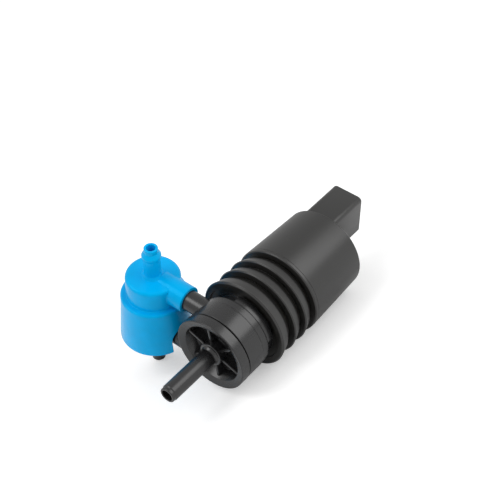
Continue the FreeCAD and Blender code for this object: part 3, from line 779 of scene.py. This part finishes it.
base_outline = [(BASE_COLLAR, BASE_TOP), (BASE_COLLAR, -3.6, 0.2), (BASE_BODY, -4.2, 0.2),
                (BASE_BODY, BASE_END, 0.6)]
base_inside = [(NIPPLE_BORE, -16.9), (BASE_INSIDE, -16.9, 0.3), (BASE_INSIDE, BASE_TOP)]
base = lathe("valve_base_body", base_outline + nipple(BASE_END, LOWER_LENGTH, -1) + base_inside,
             "Z", VALVE_CENTRE)
lower_arm = lathe("lower_arm", [(0, -26.0), (LOWER_ARM, -26.0), (LOWER_ARM, -17.0, 0.25),
                                (0, -17.0)], "X", LOWER_OUTLET, ring=False)
base = carve(base, [lower_arm],
             [rod_along_x("lower_socket", LOWER_SOCKET, SOCKET_END, -16.5, LOWER_OUTLET,
                          SOCKET_SEGMENTS)])
finished(base, "black_plastic", "pump", "valve_base")

# %% [markdown]
# ## Camera
# The photograph was matched by fitting a camera to the round edges of the rim, the hub, the
# lips and the cap. It stands above the front right of the pump with a long lens. Its place is
# given in the drawing position and rolled with the pump, so the view of the pump is the same.

# %% Place the camera
CAMERA_PLACE = Vector((177.915, -203.997, 324.217)) * MM
RIGHT = Vector((0.784274, 0.620407, 0.0031))
DOWN = Vector((0.441733, -0.554884, -0.704965))
FORWARD = Vector((-0.435645, 0.554255, -0.709235))
SENSOR = 36
FOCAL_LENGTH = 86.4


def camera():
    data = bpy.data.cameras.new("portrait")
    data.sensor_width = SENSOR
    data.lens = FOCAL_LENGTH
    data.clip_start = 0.01
    data.clip_end = 20
    made = as_object("portrait", data)
    turn = Matrix((RIGHT, -DOWN, -FORWARD)).transposed().to_4x4()
    made.matrix_world = SEAT @ Matrix.Translation(CAMERA_PLACE) @ turn
    bpy.context.scene.camera = made
    return made


eye = camera()
print("camera at", [round(part, 3) for part in eye.matrix_world.translation])

# %% [markdown]
# ## Floor and light
# The photograph is a catalogue picture: soft light from all round and a floor that is nearly
# white. A pale floor under plain light stays a little grey, so for camera rays only it gives
# off the missing part itself. The shadow stays, because the glow is added to what the lamps
# give. The room is pure white to the camera and through glass. As a light, and as what the
# gloss of the plastic reflects, it is a little dimmer, so that black stays black. Two large
# square lamps, one on either side of the camera, put the broad bright bands on the barrel.

# %% A pale floor that keeps its shadow
FLOOR_SIZE = 3.0
FLOOR_GLOW = 0.36
PAPER_DARK = (0.86, 0.86, 0.86, 1)
PAPER_LIGHT = (0.89, 0.89, 0.89, 1)


def floor():
    work = bmesh.new()
    bmesh.ops.create_grid(work, x_segments=8, y_segments=8, size=FLOOR_SIZE)
    mesh = bpy.data.meshes.new("floor")
    work.to_mesh(mesh)
    work.free()
    mesh.transform(Matrix.Translation((0, 0, floor_z)))
    made = as_object("floor", mesh)
    paint = Finish("floor_paper")
    fibres = paint.noise(paint.place(), 700, 4.0, 0.6)
    rays = paint.tree.nodes.new("ShaderNodeLightPath")
    seen = Value(paint, rays.outputs["Is Camera Ray"])
    tone = paint.blend(fibres, PAPER_DARK, PAPER_LIGHT)
    paint.set(Base_Color=tone, Roughness=0.9, Emission_Color=(1, 1, 1, 1),
              Specular_IOR_Level=0.1)
    paint.fill(paint.shader.inputs["Emission Strength"], seen * FLOOR_GLOW)
    made.data.materials.append(paint.material)


floor()
print("floor laid")

# %% The white room and its two lamps
ROOM_LIGHT = 0.68
ROOM_SEEN = 1.0
LIT_POINT = Vector((-0.005, 0.03, 0.0))


def lamp(name, right, up, back, width, power):
    """A square softbox placed by the camera's own axes, pointing at the pump."""
    data = bpy.data.lights.new(name, "AREA")
    data.shape = "SQUARE"
    data.size = width
    data.energy = power
    made = as_object(name, data)
    where = LIT_POINT + eye.matrix_world.to_3x3() @ Vector((right, up, back))
    made.location = where
    made.rotation_mode = "QUATERNION"
    made.rotation_quaternion = (LIT_POINT - where).to_track_quat("-Z", "Y")


def world():
    made = bpy.data.worlds.new("white_room")
    made.use_nodes = True
    tree = made.node_tree
    rays = tree.nodes.new("ShaderNodeLightPath")
    sky = tree.nodes["Background"]
    sky.inputs["Color"].default_value = (1, 1, 1, 1)
    clear = tree.nodes.new("ShaderNodeMath")
    clear.operation = "MAXIMUM"
    tree.links.new(rays.outputs["Is Camera Ray"], clear.inputs[0])
    tree.links.new(rays.outputs["Is Transmission Ray"], clear.inputs[1])
    level = tree.nodes.new("ShaderNodeMix")
    level.inputs[2].default_value = ROOM_LIGHT
    level.inputs[3].default_value = ROOM_SEEN
    tree.links.new(clear.outputs[0], level.inputs[0])
    tree.links.new(level.outputs[0], sky.inputs["Strength"])
    bpy.context.scene.world = made


world()
lamp("softbox_right", right=0.62, up=0.62, back=0.48, width=0.75, power=3.2)
lamp("softbox_left", right=-0.7, up=0.5, back=0.5, width=0.5, power=2.4)
bpy.context.scene.view_settings.view_transform = "Standard"
print("stage set")
